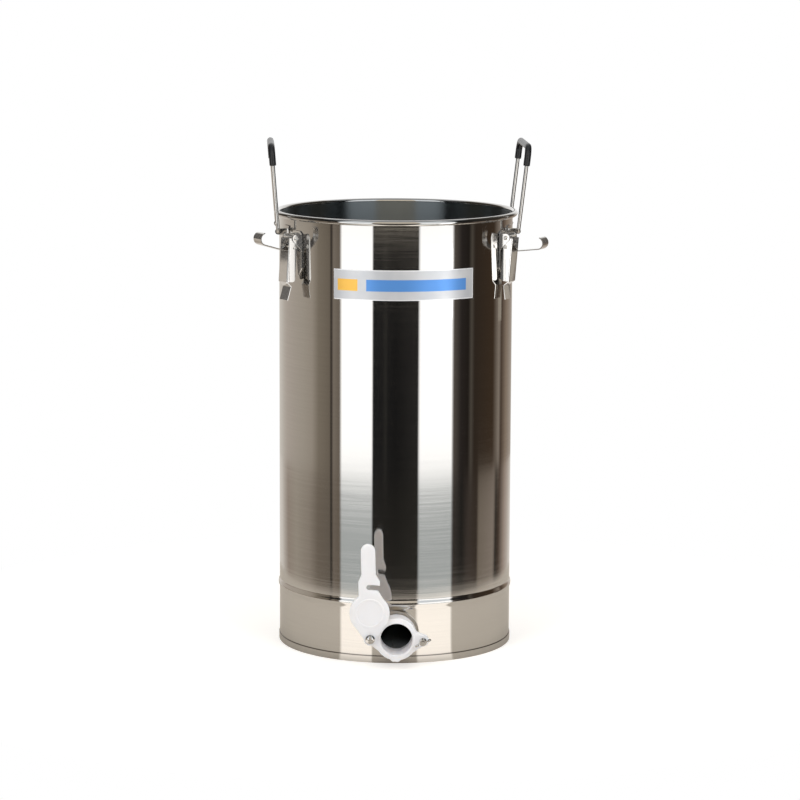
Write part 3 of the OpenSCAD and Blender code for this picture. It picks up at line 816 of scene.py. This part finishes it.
def build_floor(context):
    """Shows the camera a white floor with the tank's shadow, and the metal a pale sheet and dark skirts."""
    sizes = context.scene.tank_sizes
    bpy.ops.mesh.primitive_plane_add(size=FLOOR_SIZE)
    floor = context.object
    floor.name = "studio_floor"
    material, tree, shader = new_material("pale_studio_floor")
    set_inputs(tree, shader, {"Base Color": context.scene.tank_colours.floor, "Roughness": 0.9})
    path = add_node(tree, "ShaderNodeLightPath")
    reach = reach_of(tree, axes_of(tree))

    def glow(colour, strength):
        light = add_node(tree, "ShaderNodeEmission", {"Color": colour, "Strength": strength})
        return light.outputs["Emission"]

    def between(factor, first, second):
        return add_node(tree, "ShaderNodeMixShader", {"Fac": factor, 1: first, 2: second}).outputs["Shader"]

    def together(first, second):
        return add_node(tree, "ShaderNodeAddShader", {0: first, 1: second}).outputs["Shader"]

    def along(start, end, first, last):
        return spread(tree, reach, first, last, start, end)

    white = (1, 1, 1, 1)
    sheet = together(shader.outputs["BSDF"], glow(white, FLOOR_GLOW))
    shown = between(along(SHADOW_END, WHITE_START, 0, 1), sheet, glow(white, 1.0))
    warm = add_node(tree, "ShaderNodeBsdfDiffuse", {"Color": linear("BEB6AB")}).outputs["BSDF"]
    shaded = along(FOOT_SHADE_START, FOOT_SHADE_END, FOOT_SHADE, 1.0)
    near = together(warm, glow(around_colour(tree, SHEET), shaded))
    skirt = glow(around_colour(tree, SKIRT), SKIRT_STRENGTH)
    room = glow(around_colour(tree, ROOM), SOFTBOX_STRENGTH)
    far = between(along(sizes.studio_r - SKIRT_REACH, sizes.studio_r, 0, SKIRT_BLEND), skirt, room)
    mirrored = between(along(sizes.sheet_r - SHEET_FADE, sizes.sheet_r + SHEET_FADE, 0, 1), near, far)
    seen = between(path.outputs["Is Camera Ray"], shader.outputs["BSDF"], shown)
    set_surface(tree, between(path.outputs["Is Glossy Ray"], seen, mirrored))
    floor.data.materials.append(material)


def hang_reflector(name, mesh, colour_of, strength):
    """Hangs a glowing panel that shows only in mirror images."""
    panel = put(name, mesh)
    material, tree, shader = new_material(name)
    glow = add_node(tree, "ShaderNodeEmission", {"Color": colour_of(tree), "Strength": strength})
    set_surface(tree, glow.outputs["Emission"])
    tree.nodes.remove(shader)
    mesh.materials.append(material)
    panel.visible_camera = False
    panel.visible_diffuse = False
    panel.visible_shadow = False
    panel.visible_transmission = False


def curved_panel(name, radius, low, high, start, end, steps):
    """Makes an upright panel round the tank between two directions in degrees."""
    form = bmesh.new()
    columns = []
    for step in range(steps + 1):
        angle = math.radians(start + (end - start) * step / steps)
        aside, front = radius * math.sin(angle), radius * math.cos(angle)
        columns.append([form.verts.new((aside, -front, height)) for height in (low, high)])
    for first, second in zip(columns, columns[1:]):
        form.faces.new((first[0], second[0], second[1], first[1]))
    return mesh_of(name, form)


def build_reflectors(context):
    """A ring of softboxes and flags, an upper ring, a dim ceiling and the right latch's cards."""
    radius = context.scene.tank_sizes.studio_r
    rings = (
        ("studio_ring", radius, 0, ROOM, SOFTBOX_STRENGTH),
        ("studio_upper", radius * UPPER_SHARE, UPPER_LOW, UPPER, 1.0),
    )
    for name, reach, low, stops, strength in rings:
        hang_reflector(name, curved_panel(name, reach, low, RING_HEIGHT, -180, 180, RING_STEPS),
                       lambda tree, shown=stops: around_colour(tree, shown), strength)
    form = bmesh.new()
    bmesh.ops.create_circle(form, cap_ends=True, segments=64, radius=radius,
                            matrix=Matrix.Translation((0, 0, RING_HEIGHT)))
    hang_reflector("studio_ceiling", mesh_of("studio_ceiling", form), lambda tree: linear(CEILING), 1.0)
    for name, reach, low, high, first, last, colour, strength in CARDS:
        hang_reflector(name, curved_panel(name, reach, low, high, first, last, CARD_STEPS),
                       lambda tree, shown=colour: linear(shown), strength)


def build_lights():
    """Two soft lamps in front and one above."""
    for name, place, power, size in LAMPS:
        data = bpy.data.lights.new(name, "AREA")
        data.energy = power
        data.size = size
        lamp = put(name, data)
        lamp.location = place
        lamp.rotation_mode = "QUATERNION"
        lamp.rotation_quaternion = (LAMP_AIM - Vector(place)).to_track_quat("-Z", "Y")
        lamp.visible_glossy = False


def build_world(context):
    """White to the camera and in mirror images, a plain soft fill to everything else."""
    world = bpy.data.worlds.new("studio_world")
    context.scene.world = world
    world.use_nodes = True
    tree = world.node_tree
    tree.nodes.clear()
    path = add_node(tree, "ShaderNodeLightPath")
    seen = reckon(tree, "MAXIMUM", path.outputs["Is Camera Ray"], path.outputs["Is Transmission Ray"])
    mirrored = reckon(tree, "MAXIMUM", seen, path.outputs["Is Glossy Ray"])
    strength = spread(tree, mirrored, FILL_STRENGTH, 1.0)
    background = add_node(tree, "ShaderNodeBackground", {"Color": (1, 1, 1, 1), "Strength": strength})
    add_node(tree, "ShaderNodeOutputWorld", {"Surface": background.outputs["Background"]})


def build_camera(context):
    """A long lens a little above the rim, as the photograph was taken."""
    side = Vector((math.cos(CAMERA_TURN), -math.sin(CAMERA_TURN), 0))
    level = Vector((math.sin(CAMERA_TURN), math.cos(CAMERA_TURN), 0))
    up = level * math.sin(CAMERA_DIP) + Vector((0, 0, math.cos(CAMERA_DIP)))
    right = side * math.cos(CAMERA_ROLL) - up * math.sin(CAMERA_ROLL)
    above = side * math.sin(CAMERA_ROLL) + up * math.cos(CAMERA_ROLL)
    back = right.cross(above)
    data = bpy.data.cameras.new("photo_camera")
    data.lens = CAMERA_LENS
    data.sensor_width = CAMERA_SENSOR
    data.shift_x = -CAMERA_SHIFT
    data.shift_y = CAMERA_SHIFT
    camera = put("photo_camera", data)
    axes = Matrix((right, above, back)).transposed().to_4x4()
    camera.matrix_world = Matrix.Translation(CAMERA_PLACE) @ axes
    context.scene.camera = camera


class HoneyTankPanel(bpy.types.Panel):
    """Lists the steps that dress the tank"""
    bl_idname = "VIEW3D_PT_honey_tank"
    bl_label = "Honey Tank"
    bl_space_type = "VIEW_3D"
    bl_region_type = "UI"
    bl_category = "Honey Tank"

    def draw(self, context):
        for step in STEPS:
            self.layout.operator(step.bl_idname)


STEPS = (DressWall, DressLatches, DressHandles, DressGate, SetStage)
CLASSES = (TankColours, TankSizes, *STEPS, HoneyTankPanel)


def register():
    """Adds the classes and the scene's settings."""
    for item in CLASSES:
        bpy.utils.register_class(item)
    bpy.types.Scene.tank_colours = PointerProperty(type=TankColours)
    bpy.types.Scene.tank_sizes = PointerProperty(type=TankSizes)


def unregister():
    """Takes them away again."""
    del bpy.types.Scene.tank_sizes
    del bpy.types.Scene.tank_colours
    for item in reversed(CLASSES):
        bpy.utils.unregister_class(item)


def main():
    """Dresses the tank."""
    register()
    bpy.ops.honey_tank.dress_wall()
    bpy.ops.honey_tank.dress_latches()
    bpy.ops.honey_tank.dress_handles()
    bpy.ops.honey_tank.dress_gate()
    bpy.ops.honey_tank.set_stage()


if __name__ == "__main__":
    main()
